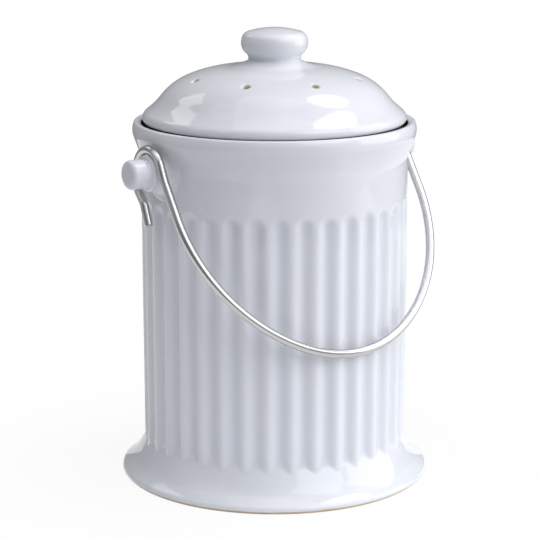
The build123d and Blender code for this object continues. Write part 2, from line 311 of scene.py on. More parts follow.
def brushedWire():
    s = wireLook
    low, high = s["span"]
    material, tree = newMaterial("brushedStainlessWire")
    uv = addNode(tree, "UVMap", "UV", {}, uv_map="alongAround")
    stretched = addNode(tree, "Mapping", "Vector", {"Vector": uv, "Scale": s["streak"]})
    streaks = {"Vector": stretched, "Scale": 1.0, "Detail": s["streakDetail"]}
    streaks = addNode(tree, "TexNoise", "Fac", streaks)
    sharp = {"Value": streaks, "From Min": low, "From Max": high}
    sharp = addNode(tree, "MapRange", "Result", sharp)
    point = addNode(tree, "TexCoord", "Object", {})
    patches = {"Vector": point, "Scale": 1 / (s["patch"] * mm), "Detail": s["patchDetail"]}
    patches = addNode(tree, "TexNoise", "Fac", patches)
    patches = {"Value": patches, "From Min": low, "From Max": high, "To Max": s["patchRoughness"]}
    patches = addNode(tree, "MapRange", "Result", patches)
    rough = {mixFactor: sharp, numberA: s["roughness"][0], numberB: s["roughness"][1]}
    rough = addNode(tree, "Mix", numberMixed, rough)
    base = {mixFactor: sharp, colourA: colour(s["dark"]), colourB: colour(s["light"])}
    brushed = {"Height": streaks, "Distance": s["streakDepth"] * mm}
    shader = {
        "Base Color": addNode(tree, "Mix", colourMixed, base, data_type="RGBA"),
        "Metallic": 1.0,
        "Roughness": addNode(tree, "Math", "Value", {0: rough, 1: patches}, operation="ADD"),
        "Normal": addNode(tree, "Bump", "Normal", brushed),
    }
    shader = addNode(tree, "BsdfPrincipled", "BSDF", shader)
    addNode(tree, "OutputMaterial", None, {"Surface": shader})
    return material


# Black needle-punched felt round activated carbon: matt, tufted, with pale lint on top.
feltLook = {
    "dark": "#1B1B1C",
    "lint": "#3A3A3B",
    "tuft": 0.9,
    "tuftDepth": 0.25,
    "lintSize": 0.35,
    "lintDetail": 3.0,
    "lintRoughness": 0.7,
    "lintSpan": (0.35, 0.75),
    "lintDepth": 0.2,
    "warp": 3.0,
    "warpDetail": 2.0,
    "roughness": 0.95,
    "sheen": 0.35,
    "sheenRoughness": 0.6,
}


def charcoalFelt():
    s = feltLook
    material, tree = newMaterial("charcoalNeedleFelt")
    point = addNode(tree, "TexCoord", "Object", {})
    warp = {"Vector": point, "Scale": 1 / (s["warp"] * mm), "Detail": s["warpDetail"]}
    warp = addNode(tree, "TexNoise", "Color", warp)
    warp = addNode(tree, "VectorMath", "Vector", {0: warp, 1: (mm, mm, mm)}, operation="MULTIPLY")
    bent = addNode(tree, "VectorMath", "Vector", {0: point, 1: warp}, operation="ADD")
    tufts = {"Vector": bent, "Scale": 1 / (s["tuft"] * mm)}
    tufts = addNode(tree, "TexVoronoi", "Distance", tufts, feature="DISTANCE_TO_EDGE")
    lint = {"Vector": point, "Scale": 1 / (s["lintSize"] * mm), "Detail": s["lintDetail"]}
    lint["Roughness"] = s["lintRoughness"]
    lint = addNode(tree, "TexNoise", "Fac", lint)
    sharp = {"Value": lint, "From Min": s["lintSpan"][0], "From Max": s["lintSpan"][1]}
    sharp = addNode(tree, "MapRange", "Result", sharp)
    base = {mixFactor: sharp, colourA: colour(s["dark"]), colourB: colour(s["lint"])}
    tufted = addNode(tree, "Bump", "Normal", {"Height": tufts, "Distance": s["tuftDepth"] * mm})
    linty = {"Height": lint, "Distance": s["lintDepth"] * mm, "Normal": tufted}
    shader = {
        "Base Color": addNode(tree, "Mix", colourMixed, base, data_type="RGBA"),
        "Roughness": s["roughness"],
        "Sheen Weight": s["sheen"],
        "Sheen Roughness": s["sheenRoughness"],
        "Normal": addNode(tree, "Bump", "Normal", linty),
    }
    shader = addNode(tree, "BsdfPrincipled", "BSDF", shader)
    addNode(tree, "OutputMaterial", None, {"Surface": shader})
    return material


glazeWipedBelow = 1.7
crockGlaze = whiteGlaze("whiteStonewareGlazeCrock", glazeWipedBelow)
lidGlaze = whiteGlaze("whiteStonewareGlazeLid", 0.0)
lugGlaze = whiteGlaze("whiteStonewareGlazeLugs", 0.0)
ventClay = bareClay("bareStonewareVents", "vents")
# Bare clay coloured near-black: painted shade for the gap round the lid's edge.
gapShadeClay = bareClay("bareStonewarePaintedGapShade", "ledge")
wireSteel = brushedWire()
felt = charcoalFelt()
print("stage: materials made")


# In every piece, an arc is a pair: its radius and its degrees of turn.
crockHigh = boxMm("crock")[1]
crockSizes = {
    "bodyR": 81.6,
    "boreR": 75.0,
    "boreLevels": (215, 18, -8.0),
    "boreLip": [(0.6, 0.0), (0.15, 0.15), (0.0, 0.6)],  # out from the bore, down from the ledge
    "floorZ": 8.0,
    "floorCornerR": 9.0,
    "floorRings": (50, 35, 20, 2),
    "seatR": 81.2,
    "seatZ": 218.5,
    "undersideRings": (2, 20, 40, 60, 75, 82, 83.6),
    "recess": 2.6,
    "ringInsideR": 84.0,
    "ringInside": [(0.0, 2.2), (0.0, 0.4), (0.4, 0.0), (4.0, 0.0)],  # out, height
    "ringOutside": [(2.0, 0.0), (1.8, 0.05), (0.9, 0.8), (0.25, 1.6)],  # in, height
    "footR": crockHigh[0],
    "footEdgeZ": 2.4,
    "footEdge": (2.8, 56.0),
    "flare": (30.0, 26.0),
    "flareTopStartR": 80.3,
    "flareTop": (10.0, 23.0),
    "flareEnd": (120.0, 30.0),  # heading and length of the hidden end, inside the wall
    "neckBend": (27.0, 20.0),
    "rimR": 86.5,
    "rimWidestZ": 215.0,
    "rimRoll": (11.5, 21.0),
    "rimTopR": 1.6,
    "rimCurlUp": 0.5,
    # The groove between the ledge and the rim: inwards from the rim, down from the ledge.
    "gutter": [
        *[(0.1, 0.3), (0.3, 2.0), (0.6, 3.5), (1.3, 4.3), (2.2, 4.5)],
        *[(2.9, 4.0), (3.3, 2.5), (3.5, 0.6), (3.9, 0.05), (4.4, 0.0)],
    ],
    "flutes": 36,
    "fluteDepth": 2.2,
    "fluteHalfWidth": 7.0,
    "fluteTopZ": 168.5,
    "fluteStart": 7.4,
    "perFlute": 24,
    "levels": [(9.5, 32, 0.7), (32, 44, 2.0), (44, 158, 6.0), (158, 178, 0.7)],
    "neckStep": 2.5,
    "glazeFillet": 1.0,
    "footPool": 0.35,
    "taper": 0.6,
    "taperZ": 70.0,
    "waviness": 0.12,
    "waves": [(1.0, 3, 0.031, 1.0), (0.7, 5, -0.052, 0.4), (0.5, 8, 0.083, 2.2)],
    "waveWindow": (30.0, 20.0, 212.0, 10.0),  # lowest, its fade, highest, its fade
}


def footProfile():
    s = crockSizes
    edgeR, edgeTurn = s["footEdge"]
    flareR, flareTurn = s["flare"]
    moves = [("arc", edgeR, edgeTurn), ("arc", flareR, -flareTurn)]
    points, heading = chain((s["footR"], s["footEdgeZ"]), 90, moves)
    run = (s["flareTopStartR"] - points[-1][0]) / math.cos(math.radians(heading))
    topR, topTurn = s["flareTop"]
    moves = [("line", run, 0), ("arc", topR, -topTurn), ("line", 0.1, 0)]
    more, _ = chain(points[-1], heading, moves)
    endHeading, endLength = s["flareEnd"]
    end, _ = chain(more[-1], endHeading, [("line", endLength, 0)])
    return np.vstack([points, more[1:], end[1:]])


# The neck from its foot to the ledge that carries the lid, and the height where it starts.
def neckProfile():
    s = crockSizes
    bendR, lean = s["neckBend"]
    rollR, rollTurn = s["rimRoll"]
    leanS, leanC = math.sin(math.radians(lean)), math.cos(math.radians(lean))
    rollStartR = s["rimR"] - rollR * (1 - leanC)
    flareStartR = s["bodyR"] + bendR * (1 - leanC)
    rise = (rollStartR - flareStartR) * leanC / leanS
    startZ = s["rimWidestZ"] - rollR * leanS - rise - bendR * leanS
    moves = [
        ("arc", bendR, -lean),
        ("line", rise / leanC, 0),
        ("arc", rollR, lean + rollTurn),
        ("arc", s["rimTopR"], 90 - rollTurn),
    ]
    points, _ = chain((s["bodyR"], startZ), 90, moves, step=0.6)
    across, drop = points[-1] - (s["seatR"], s["seatZ"] + s["rimCurlUp"])
    curlR = (across**2 + drop**2) / (2 * drop)
    inside = ("arc", curlR, 2 * math.degrees(math.atan2(drop, across)))
    curl, _ = chain(points[-1], 180, [inside], step=0.4)
    return np.vstack([points, curl[1:]]), startZ


def wallTaper(z):
    s = crockSizes
    low = np.clip((s["taperZ"] - z) / s["taperZ"], 0, 1)
    return s["taper"] * low**2


# How far the glazed wall stands out of true, as slow waves round and up it.
def waviness(theta, z):
    s = crockSizes
    lowZ, lowFade, highZ, highFade = s["waveWindow"]
    window = np.clip((z - lowZ) / lowFade, 0, 1) * np.clip((highZ - z) / highFade, 0, 1)
    waves = 0
    for share, count, perMm, phase in s["waves"]:
        waves = waves + share * np.sin(count * theta + perMm * z + phase)
    return s["waviness"] * window * waves / sum(wave[0] for wave in s["waves"])


def crockGrid():
    s = crockSizes
    columns = s["flutes"] * s["perFlute"]
    theta = np.linspace(0, 2 * np.pi, columns, endpoint=False) + math.radians(s["fluteStart"])
    pitch = 2 * np.pi / s["flutes"]
    across = ((theta - math.radians(s["fluteStart"]) + pitch / 2) % pitch - pitch / 2) * s["bodyR"]
    foot = footProfile()
    neck, neckStartZ = neckProfile()

    plain = [(r, s["recess"]) for r in s["undersideRings"]]
    plain += [(s["ringInsideR"] + outward, z) for outward, z in s["ringInside"]]
    plain += [(s["footR"] - inward, z) for inward, z in s["ringOutside"]]
    plain += [tuple(p) for p in foot if p[1] < s["levels"][0][0]]
    levels = [np.arange(*level) for level in s["levels"]]
    levels.append(np.arange(s["levels"][-1][1], neckStartZ, s["neckStep"]))
    inner = [(s["seatR"] - inward, s["seatZ"] - down) for inward, down in s["gutter"]]
    inner += [(s["boreR"] + outward, s["seatZ"] - down) for outward, down in s["boreLip"]]
    inner += [(s["boreR"], z) for z in np.arange(*s["boreLevels"])]
    cornerStart = (s["boreR"], s["floorZ"] + s["floorCornerR"])
    corner, _ = chain(cornerStart, -90, [("arc", s["floorCornerR"], -90)])
    inner += list(corner) + [(r, s["floorZ"]) for r in s["floorRings"]]

    rows = [(np.full(columns, r), z, np.zeros(columns)) for r, z in plain]
    for z in np.concatenate(levels):
        along = np.abs(across) if z < s["fluteTopZ"] else np.hypot(across, z - s["fluteTopZ"])
        wave = (1 + np.cos(np.pi * np.clip(along / s["fluteHalfWidth"], 0, 1))) / 2
        wall = s["bodyR"] - wallTaper(z) - s["fluteDepth"] * wave + waviness(theta, z)
        footR = np.interp(z, foot[:, 1], foot[:, 0])
        # The larger of the two radii, with the glaze's fillet where they meet.
        fillet = s["glazeFillet"]
        radius = (wall + footR + np.sqrt((wall - footR) ** 2 + fillet**2)) / 2
        radius -= fillet**2 / 4 / np.maximum(np.abs(wall - footR), fillet)
        rows.append((radius, z, np.where(wall > footR, wave, s["footPool"])))
    rows += [(r + waviness(theta, z), z, np.zeros(columns)) for r, z in neck]
    # The rows from the rim's curl down the gutter get painted shade of the gap under the lid.
    gapShadeRows = range(len(rows) - 1, len(rows) + len(s["gutter"]))
    rows += [(np.full(columns, r), z, np.zeros(columns)) for r, z in inner]

    radius = np.array([row[0] for row in rows])
    height = np.array([np.full(columns, row[1]) for row in rows])
    grid = np.stack([radius * np.cos(theta), radius * np.sin(theta), height], 2)
    return grid, np.array([row[2] for row in rows]), gapShadeRows


def buildCrock():
    s = crockSizes
    grid, pools, gapShadeRows = crockGrid()
    rowCount, columns = grid.shape[:2]
    faces = gridFaces(rowCount, columns)
    under, floor = (0, 0, s["recess"]), (0, 0, s["floorZ"])
    vertices, faces = closeEnds(grid.reshape(-1, 3), faces, columns, rowCount, under, floor)
    obj = makeObject("crock_glazed", vertices, faces, "crock", crockGlaze, "crock")
    # Painted shade: the faces of the curl and the gutter take the near-black clay.
    obj.data.materials.append(gapShadeClay)
    for row in gapShadeRows:
        for j in range(columns):
            obj.data.polygons[row * columns + j].material_index = 1
    pool = obj.data.attributes.new("glazePool", "FLOAT", "POINT")
    pool.data.foreach_set("value", np.append(pools.reshape(-1), [0, 0]).astype(np.float32))
    return obj


crockObject = buildCrock()
print("stage: crock", len(crockObject.data.polygons))


# The lug's axis is X. Its root swells out of the wall, and its head is a button.
lugHigh = boxMm("right_lug")[1]
lugSizes = {
    "z": 196.0,
    "rootR": 17.5,
    "rootRings": 13,
    "rootBuried": 1.0,
    "neckR": 10.9,
    "neckStartX": 86.7,
    "neckEndX": 92.6,
    "shoulderR": 1.4,
    "waistR": 7.9,
    "waistFillet": 0.5,
    "waistRun": 0.3,
    "headUnder": (1.6, 40.0),
    "headR": 8.8,
    "headRound": (2.4, 82.0),
    "faceRings": (0.75, 0.5, 0.25, 0.08),
    "tipX": lugHigh[0],
    "around": 96,
}


def wallRadiusAt(z):
    neck, neckStartZ = neckProfile()
    outside = neck[: np.argmax(neck[:, 0]) + 1]
    flared = np.interp(z, outside[:, 1], outside[:, 0])
    return np.where(z < neckStartZ, crockSizes["bodyR"], flared)


# The lug's (x, radius) points from the wall to the tip.
def lugProfile():
    s = lugSizes
    underR, underTurn = s["headUnder"]
    roundR, roundTurn = s["headRound"]
    moves = [
        ("line", s["neckEndX"] - s["neckStartX"] - s["shoulderR"], 0),
        ("arc", s["shoulderR"], -90),
        ("line", s["neckR"] - s["shoulderR"] - s["waistR"] - s["waistFillet"], 0),
        ("arc", s["waistFillet"], 90),
        ("line", s["waistRun"], 0),
        ("arc", underR, underTurn),
    ]
    neck, heading = chain((s["neckStartX"], s["neckR"]), 0, moves, step=0.5)
    backR = (s["headR"] - neck[-1][1]) / (1 - math.cos(math.radians(heading)))
    back, _ = chain(neck[-1], heading, [("arc", backR, -heading), ("line", 0.1, 0)], step=0.5)
    sideLength = s["tipX"] - roundR - back[-1][0]
    moves = [("line", sideLength, 0), ("arc", roundR, -roundTurn)]
    head, _ = chain(back[-1], 0, moves, step=0.5)
    edgeX, edgeR = head[-1]
    bulge = s["tipX"] - edgeX
    face = [(s["tipX"] - bulge * share**2, edgeR * share) for share in s["faceRings"]]
    return np.vstack([neck[1:], back[1:], head[1:], face])


def buildLug(name, side, node):
    s = lugSizes
    angles = np.linspace(0, 2 * np.pi, s["around"], endpoint=False)
    y, z = np.cos(angles), np.sin(angles)

    def ringAt(x, r):
        return np.stack([x, r * y, s["z"] + r * z], 1)

    def ringOnWall(r):
        height = s["z"] + r * z
        out = np.sqrt(wallRadiusAt(height) ** 2 - (r * y) ** 2)
        return ringAt(out + waviness(np.arctan2(r * y, side * out), height), r)

    start = ringAt(np.full_like(y, s["neckStartX"]), s["neckR"])
    pull = ringOnWall(s["neckR"])
    end = ringOnWall(s["rootR"])
    rings = [end - np.array([s["rootBuried"], 0, 0])]
    for t in np.linspace(0, 1, s["rootRings"]):
        rings.append((1 - t) ** 2 * end + 2 * t * (1 - t) * pull + t**2 * start)
    rings += [ringAt(np.full_like(y, x), r) for x, r in lugProfile()]
    grid = np.array(rings)
    inside, tip = (side * grid[0, :, 0].min(), 0, s["z"]), (side * s["tipX"], 0, s["z"])
    grid[:, :, 0] *= side
    faces = gridFaces(len(rings), s["around"])
    vertices = grid.reshape(-1, 3)
    vertices, faces = closeEnds(vertices, faces, s["around"], len(rings), inside, tip)
    if side > 0:
        faces = [face[::-1] for face in faces]
    obj = makeObject(name, vertices, faces, "crock", lugGlaze, node)
    return obj


rightLug = buildLug("right_lug_glazed", 1, "right_lug")
leftLug = buildLug("left_lug_glazed", -1, "left_lug")
print("stage: lugs")


lidLow, lidHigh = boxMm("lid")
lidSizes = {
    "r": lidHigh[0],
    "topZ": lidHigh[2],
    "seatZ": 218.5,
    "underR": 3.35,
    "underIn": 1.5,
    "bead": (5.1, 53.1),
    "ogee": (48.78, 14.8),
    "shoulder": (39.4, 30.4),
    "crownR": 87.3,
    "crownEndSlope": 5.5,
    "wall": 5.0,
    "insideSlope": 20.0,
    # How far above the seat the lid's edge takes the near-black painted gap shade.
    "gapShadeUp": 1.2,
    "skirtR": 73.4,
    "skirtInsideR": 68.2,
    "skirtBottomZ": lidLow[2],
    "skirtRound": 1.5,
    "skirtTop": [(0.8, 0.0), (0.2, 0.2), (0.0, 0.8)],  # out from the skirt, down from the seat
    "skirtRowUp": 6.0,
    "pocket": [(0.0, 6.0), (0.0, 0.6), (0.2, 0.15), (0.7, 0.0)],  # in, down from the shelf
    "shelfR": 64.2,
    "shelfZ": 216.5,
    "shelfEdge": [(0.7, 0.0), (0.15, 0.2), (0.0, 0.8)],  # out from the shelf's edge, up
    "knobNeckR": 15.85,
    "knobR": 20.25,
    "knobFoot": (2.0, 24.0),
    "knobUnder": (3.6, 51.7),
    "knobSide": (12.2, 15.5),
    "knobEdge": (5.4, 58.0),
    "knobTopGap": 1.0,  # degrees left open for the closing fan
    "hollowR": 10.05,
    "hollowRise": 13.5,
    "hollowRoundR": 5.0,
    "hollowMouthR": 2.0,
    "hollowTopR": 1.0,
    "vents": 8,
    "ventR": 2.2,
    "ventRingR": 53.0,
    "ventTilt": 25.0,
    "ventLip": 1.2,
    "lipTurns": (20, 40, 60, 80),
    "turned": -8.2,
    "around": 256,
    "patch": 16,  # cells along each side of the square in which a vent is cut
    "patchHalfR": 7.0,
    "patchRings": (0.3, 0.55, 0.75, 0.9, 1.0),
    "patchMargin": 0.3,
    "domeInsideR": 22.0,
    "domeFromZ": 222.0,
}


# The lid's outside, from the knob's top down to the edge, and where the crown ends.
def lidOutside():
    s = lidSizes
    beadR, beadTurn = s["bead"]
    ogeeR, ogeeTurn = s["ogee"]
    shoulderR, shoulderTurn = s["shoulder"]
    crownSlope = s["crownEndSlope"]
    moves = [
        ("arc", s["underR"], 90),
        ("arc", beadR, beadTurn),
        ("arc", ogeeR, -ogeeTurn),
        ("arc", shoulderR, shoulderTurn),
        ("arc", s["crownR"], 90 - beadTurn + ogeeTurn - shoulderTurn - crownSlope),
    ]
    body, heading = chain((s["r"] - s["underR"], s["seatZ"]), 0, moves, step=0.7)
    crownEnd = body[-1]
    underR, underLean = s["knobUnder"]
    headR = (s["knobR"] - s["knobNeckR"]) / (1 - math.cos(math.radians(underLean))) - underR
    sideR, sideTurn = s["knobSide"]
    edgeR, edgeTurn = s["knobEdge"]
    footR, footSlope = s["knobFoot"]
    footS = math.sin(math.radians(footSlope))
    footRun = crownEnd[0] - s["knobNeckR"] - footR * (1 - footS)
    bendR = footRun / (footS - math.sin(math.radians(crownSlope)))
    moves = [
        ("arc", bendR, crownSlope - footSlope),
        ("arc", footR, footSlope - 90),
        ("arc", underR, -underLean),
        ("arc", headR, underLean),
        ("arc", sideR, sideTurn),
        ("arc", edgeR, edgeTurn),
    ]
    knob, heading = chain(crownEnd, heading, moves, step=0.5)
    capTurn = 90 - sideTurn - edgeTurn
    capR = knob[-1][0] / math.sin(math.radians(capTurn))
    cap, _ = chain(knob[-1], heading, [("arc", capR, capTurn - s["knobTopGap"])], step=1.5)
    return np.vstack([body, knob[1:], cap[1:]])[::-1], crownEnd


# The lid's underside, from its edge round the skirt to the shelf that the filter lies against.
def lidSkirt():
    s = lidSizes
    roundR = s["skirtRound"]
    rim = [(s["r"] - s["underR"] - s["underIn"], s["seatZ"])]
    rim += [(s["skirtR"] + outward, s["seatZ"] - down) for outward, down in s["skirtTop"]]
    rim += [(s["skirtR"], s["skirtBottomZ"] + s["skirtRowUp"])]
    flat = s["skirtR"] - s["skirtInsideR"] - 2 * roundR
    moves = [("arc", roundR, -90), ("line", flat, 0), ("arc", roundR, -90)]
    bottom, _ = chain((s["skirtR"], s["skirtBottomZ"] + roundR), -90, moves, step=0.5)
    pocket = [(s["skirtInsideR"] - inward, s["shelfZ"] - down) for inward, down in s["pocket"]]
    pocket += [(s["shelfR"] + outward, s["shelfZ"] + up) for outward, up in s["shelfEdge"]]
    return np.vstack([rim, bottom, pocket])


# The dome's inside, from the shelf to the top of the hollow in the knob.
def lidInside(crownEnd):
    s = lidSizes
    crownSlope = math.radians(s["crownEndSlope"])
    crownCentre = crownEnd - np.array([math.sin(crownSlope), math.cos(crownSlope)]) * s["crownR"]
    insideR = s["crownR"] - s["wall"]
    slope = math.radians(s["insideSlope"])
    haunchX = crownCentre[0] + insideR * math.sin(slope)
    haunchR = (s["shelfR"] - haunchX) / (1 - math.sin(slope))
    haunchZ = crownCentre[1] + (insideR - haunchR) * math.cos(slope)
    moves = [("arc", haunchR, 90 - s["insideSlope"]), ("arc", insideR, s["insideSlope"])]
    haunch, _ = chain((s["shelfR"], haunchZ), 90, moves, step=1.2)
    topZ = crownCentre[1] + s["crownR"] + s["hollowRise"]
    mouthR, roundR = s["hollowMouthR"], s["hollowRoundR"]
    moves = [
        ("arc", mouthR, -90),
        ("line", topZ - haunch[-1][1] - mouthR - roundR, 0),
        ("arc", roundR, 90),
        ("line", s["hollowR"] - roundR - s["hollowTopR"], 0),
    ]
    hollow, _ = chain((s["hollowR"] + mouthR, haunch[-1][1]), 180, moves, step=1.0)
    return np.vstack([haunch, hollow])


# The height of the dome of this profile at these radii.
def domeHeights(profile, radii):
    s = lidSizes
    dome = profile[(profile[:, 0] > s["domeInsideR"]) & (profile[:, 1] > s["domeFromZ"])]
    order = np.argsort(dome[:, 0])
    return np.interp(radii, dome[order, 0], dome[order, 1])


# Gives the profile a row at each of these radii and returns the first one's number.
def pinned(profile, radii):
    s = lidSizes
    low, high = min(radii), max(radii)
    rising = profile[0][0] < profile[-1][0]
    run = profile if rising else profile[::-1]
    near = (run[:, 0] > low - s["patchMargin"]) & (run[:, 0] < high + s["patchMargin"])
    kept = run[~(near & (run[:, 1] > s["domeFromZ"]))]
    split = next(i for i, p in enumerate(kept) if p[0] >= high and kept[i - 1][0] <= low)
    rows = np.stack([radii, domeHeights(profile, radii)], 1)
    joined = np.vstack([kept[:split], rows, kept[split:]])
    if rising:
        return joined, split
    return joined[::-1], len(joined) - split - len(radii)


# The numbers of the vertices round the square that is left open for a vent.
def patchBorder(startRow, vent):
    s = lidSizes
    patch, columns = s["patch"], s["around"]
    low, high = -patch // 2, patch // 2
    cells = [(0, j) for j in range(low, high)] + [(i, high) for i in range(patch)]
    cells += [(patch, j) for j in range(high, low, -1)]
    cells += [(i, low) for i in range(patch, 0, -1)]
    middle = vent * columns // s["vents"]
    return [(startRow + i) * columns + (middle + j) % columns for i, j in cells]


# Fills the square from its border to the vent's lip on one surface. Sinking is the way into the
# wall. Returns the innermost ring of vertices and their angles round the vent.
def ventMouth(vertices, faces, profile, border, middle, axes, sinking):
    s = lidSizes
    normal, slope, across = axes

    def onDome(points):
        lifted = points.copy()
        lifted[:, 2] = domeHeights(profile, np.hypot(points[:, 0], points[:, 1]))
        return lifted

    corners = np.array([vertices[k] for k in border])
    centre = onDome(middle[None])[0]
    phi = np.arctan2((corners - centre) @ across, (corners - centre) @ slope)
    spokes = np.cos(phi)[:, None] * slope + np.sin(phi)[:, None] * across
    lip = s["ventLip"]
    circle = centre + (s["ventR"] + lip) * spokes
    rings = [onDome(corners * (1 - t) + circle * t) for t in s["patchRings"]]
    for turn in np.radians(s["lipTurns"]):
        ringR = s["ventR"] + lip * (1 - math.sin(turn))
        drop = lip * (1 - math.cos(turn))
        rings.append(onDome(centre + ringR * spokes) + sinking * drop * normal)
    previous = border
    for ring in rings:
        first = len(vertices)
        vertices.extend(ring)
        current = list(range(first, first + len(ring)))
        for k in range(len(ring)):
            m = (k + 1) % len(ring)
            faces.append((previous[k], previous[m], current[m], current[k]))
        previous = current
    return previous, phi


# Cuts one vent through the dome and returns the numbers of the faces of its wall.
def cutVent(vent, vertices, faces, outer, inner):
    s = lidSizes
    angle = 2 * math.pi * vent / s["vents"]
    tilt = math.radians(s["ventTilt"])
    radial = np.array([math.cos(angle), math.sin(angle), 0])
    across = np.array([-math.sin(angle), math.cos(angle), 0])
    up = np.array([0, 0, 1.0])
    normal = radial * math.sin(tilt) + up * math.cos(tilt)
    slope = radial * math.cos(tilt) - up * math.sin(tilt)
    axes = (normal, slope, across)
    mouths = []
    innerR = s["ventRingR"] - s["wall"] * math.sin(tilt)
    for (profile, startRow), ringR, sinking in ((outer, s["ventRingR"], -1), (inner, innerR, 1)):
        border = patchBorder(startRow, vent)
        middle = radial * ringR
        mouths.append(ventMouth(vertices, faces, profile, border, middle, axes, sinking))
    (outerRing, outerPhi), (innerRing, innerPhi) = mouths
    nearest = [
        innerRing[int(np.argmin(np.abs(np.angle(np.exp(1j * (innerPhi - phi))))))]
        for phi in outerPhi
    ]
    wallFaces = []
    for k in range(len(outerRing)):
        m = (k + 1) % len(outerRing)
        wallFaces.append(len(faces))
        if nearest[k] == nearest[m]:
            faces.append((outerRing[k], outerRing[m], nearest[k]))
        else:
            faces.append((outerRing[k], outerRing[m], nearest[m], nearest[k]))
    return wallFaces


def buildLid():
    s = lidSizes
    columns, patch = s["around"], s["patch"]
    low, high = s["ventRingR"] - s["patchHalfR"], s["ventRingR"] + s["patchHalfR"]
    radii = np.linspace(low, high, patch + 1)
    outside, crownEnd = lidOutside()
    outside, outerStart = pinned(outside, radii)
    innerRadii = radii - s["wall"] * math.sin(math.radians(s["ventTilt"]))
    inside, innerStart = pinned(lidInside(crownEnd), innerRadii)
    skirt = lidSkirt()
    innerStart += len(outside) + len(skirt)
    profile = np.vstack([outside, skirt, inside])
    skip = set()
    for vent in range(s["vents"]):
        for j in range(-patch // 2, patch // 2):
            column = (vent * columns // s["vents"] + j) % columns
            for i in range(patch):
                skip.add((outerStart + i, column))
                skip.add((innerStart + i, column))
    vertices = list(revolved(profile, columns).reshape(-1, 3))
    faces = gridFaces(len(profile), columns, skip)
    outer, inner = (outside, outerStart), (inside, innerStart)
    bareFaces = []
    for vent in range(s["vents"]):
        bareFaces += cutVent(vent, vertices, faces, outer, inner)
    top, underKnob = (0, 0, s["topZ"]), (0, 0, profile[-1][1])
    vertices, faces = closeEnds(vertices, faces, columns, len(profile), top, underKnob)
    turnC, turnS = math.cos(math.radians(s["turned"])), math.sin(math.radians(s["turned"]))
    turn = np.array([[turnC, -turnS, 0], [turnS, turnC, 0], [0, 0, 1]])
    obj = makeObject("lid_glazed", vertices @ turn.T, faces, "lid", lidGlaze, "lid")
    obj.data.materials.append(ventClay)
    obj.data.materials.append(gapShadeClay)
    for face in bareFaces:
        obj.data.polygons[face].material_index = 1
    # The underside is wiped bare up to just past the turn of the lid's edge, and this clay is
    # coloured near-black as painted shade of the gap.
    for polygon in obj.data.polygons:
        x, y, z = polygon.center / mm
        if math.hypot(x, y) > s["skirtR"] and z < s["seatZ"] + s["gapShadeUp"]:
            polygon.material_index = 2
    return obj


lidObject = buildLid()
print("stage: lid", len(lidObject.data.polygons))


filterLow, filterHigh = boxMm("charcoal_filter")
filterSizes = {
    "r": filterHigh[0],
    "topZ": filterHigh[2],
    "bottomZ": filterLow[2],
    "faceIn": 0.15,
    "edgeR": 1.6,
    "sealIn": 4.5,
    "sealDepth": 1.1,
    "sealWidth": 1.6,
    "middleR": 3.0,
    "middleRings": 14,
    "edgeBand": 12.0,
    "edgeRings": 20,
    "around": 192,
}


# A flat pad, pinched by a heat seal near its edge on both faces.
def buildFilter():
    s = filterSizes
    middle = (s["topZ"] + s["bottomZ"]) / 2
    half = (s["topZ"] - s["bottomZ"]) / 2
    bandR = s["r"] - s["edgeBand"]
    radii = np.concatenate(
        [
            np.linspace(s["middleR"], bandR, s["middleRings"]),
            np.linspace(bandR + 1, s["r"] - s["edgeR"], s["edgeRings"]),
        ]
    )
    pinch = s["sealDepth"] * np.exp(-(((radii - s["r"] + s["sealIn"]) / s["sealWidth"]) ** 2))
    rise = half - s["faceIn"] - pinch
    under = np.stack([radii, middle - rise], 1)
    edge, _ = chain((radii[-1], under[-1][1]), 0, [("arc", s["edgeR"], 90)], step=0.4)
    lower = np.vstack([under, edge[1:]])
    mirrored = lower[:-1][::-1] * (1, -1) + (0, 2 * middle)
    profile = np.vstack([lower, [(s["r"], 2 * middle - lower[-1][1])], mirrored])
    faces = gridFaces(len(profile), s["around"])
    vertices = revolved(profile, s["around"]).reshape(-1, 3)
    faceZ = half - s["faceIn"]
    bottom, top = (0, 0, middle - faceZ), (0, 0, middle + faceZ)
    vertices, faces = closeEnds(vertices, faces, s["around"], len(profile), bottom, top)
    obj = makeObject("charcoal_filter_felt", vertices, faces, "filter", felt, "charcoal_filter")
    return obj


filterObject = buildFilter()
print("stage: filter")


# The bail lies on the front of the crock. The tail's points are (forward, up) from the pivot.
bailSizes = {
    "wireR": 2.6,
    "x": 89.65,
    "drop": 133.4,
    "straight": 35.0,
    "sideTurn": 60.9,
    "restGap": 0.3,
    "hookR": 13.8,
    "armOffset": 12.35,
    "armBendR": 40.0,
    "legLean": 25.0,
    "tail": [(-13.8, 0.0), (-13.8, -11.5), (-6.6, -19.3), (-1.4, -32.0)],
    "tailBends": [6.0, 5.0],
    "endRound": 0.25,
    "step": 1.2,
    "around": 28,
}


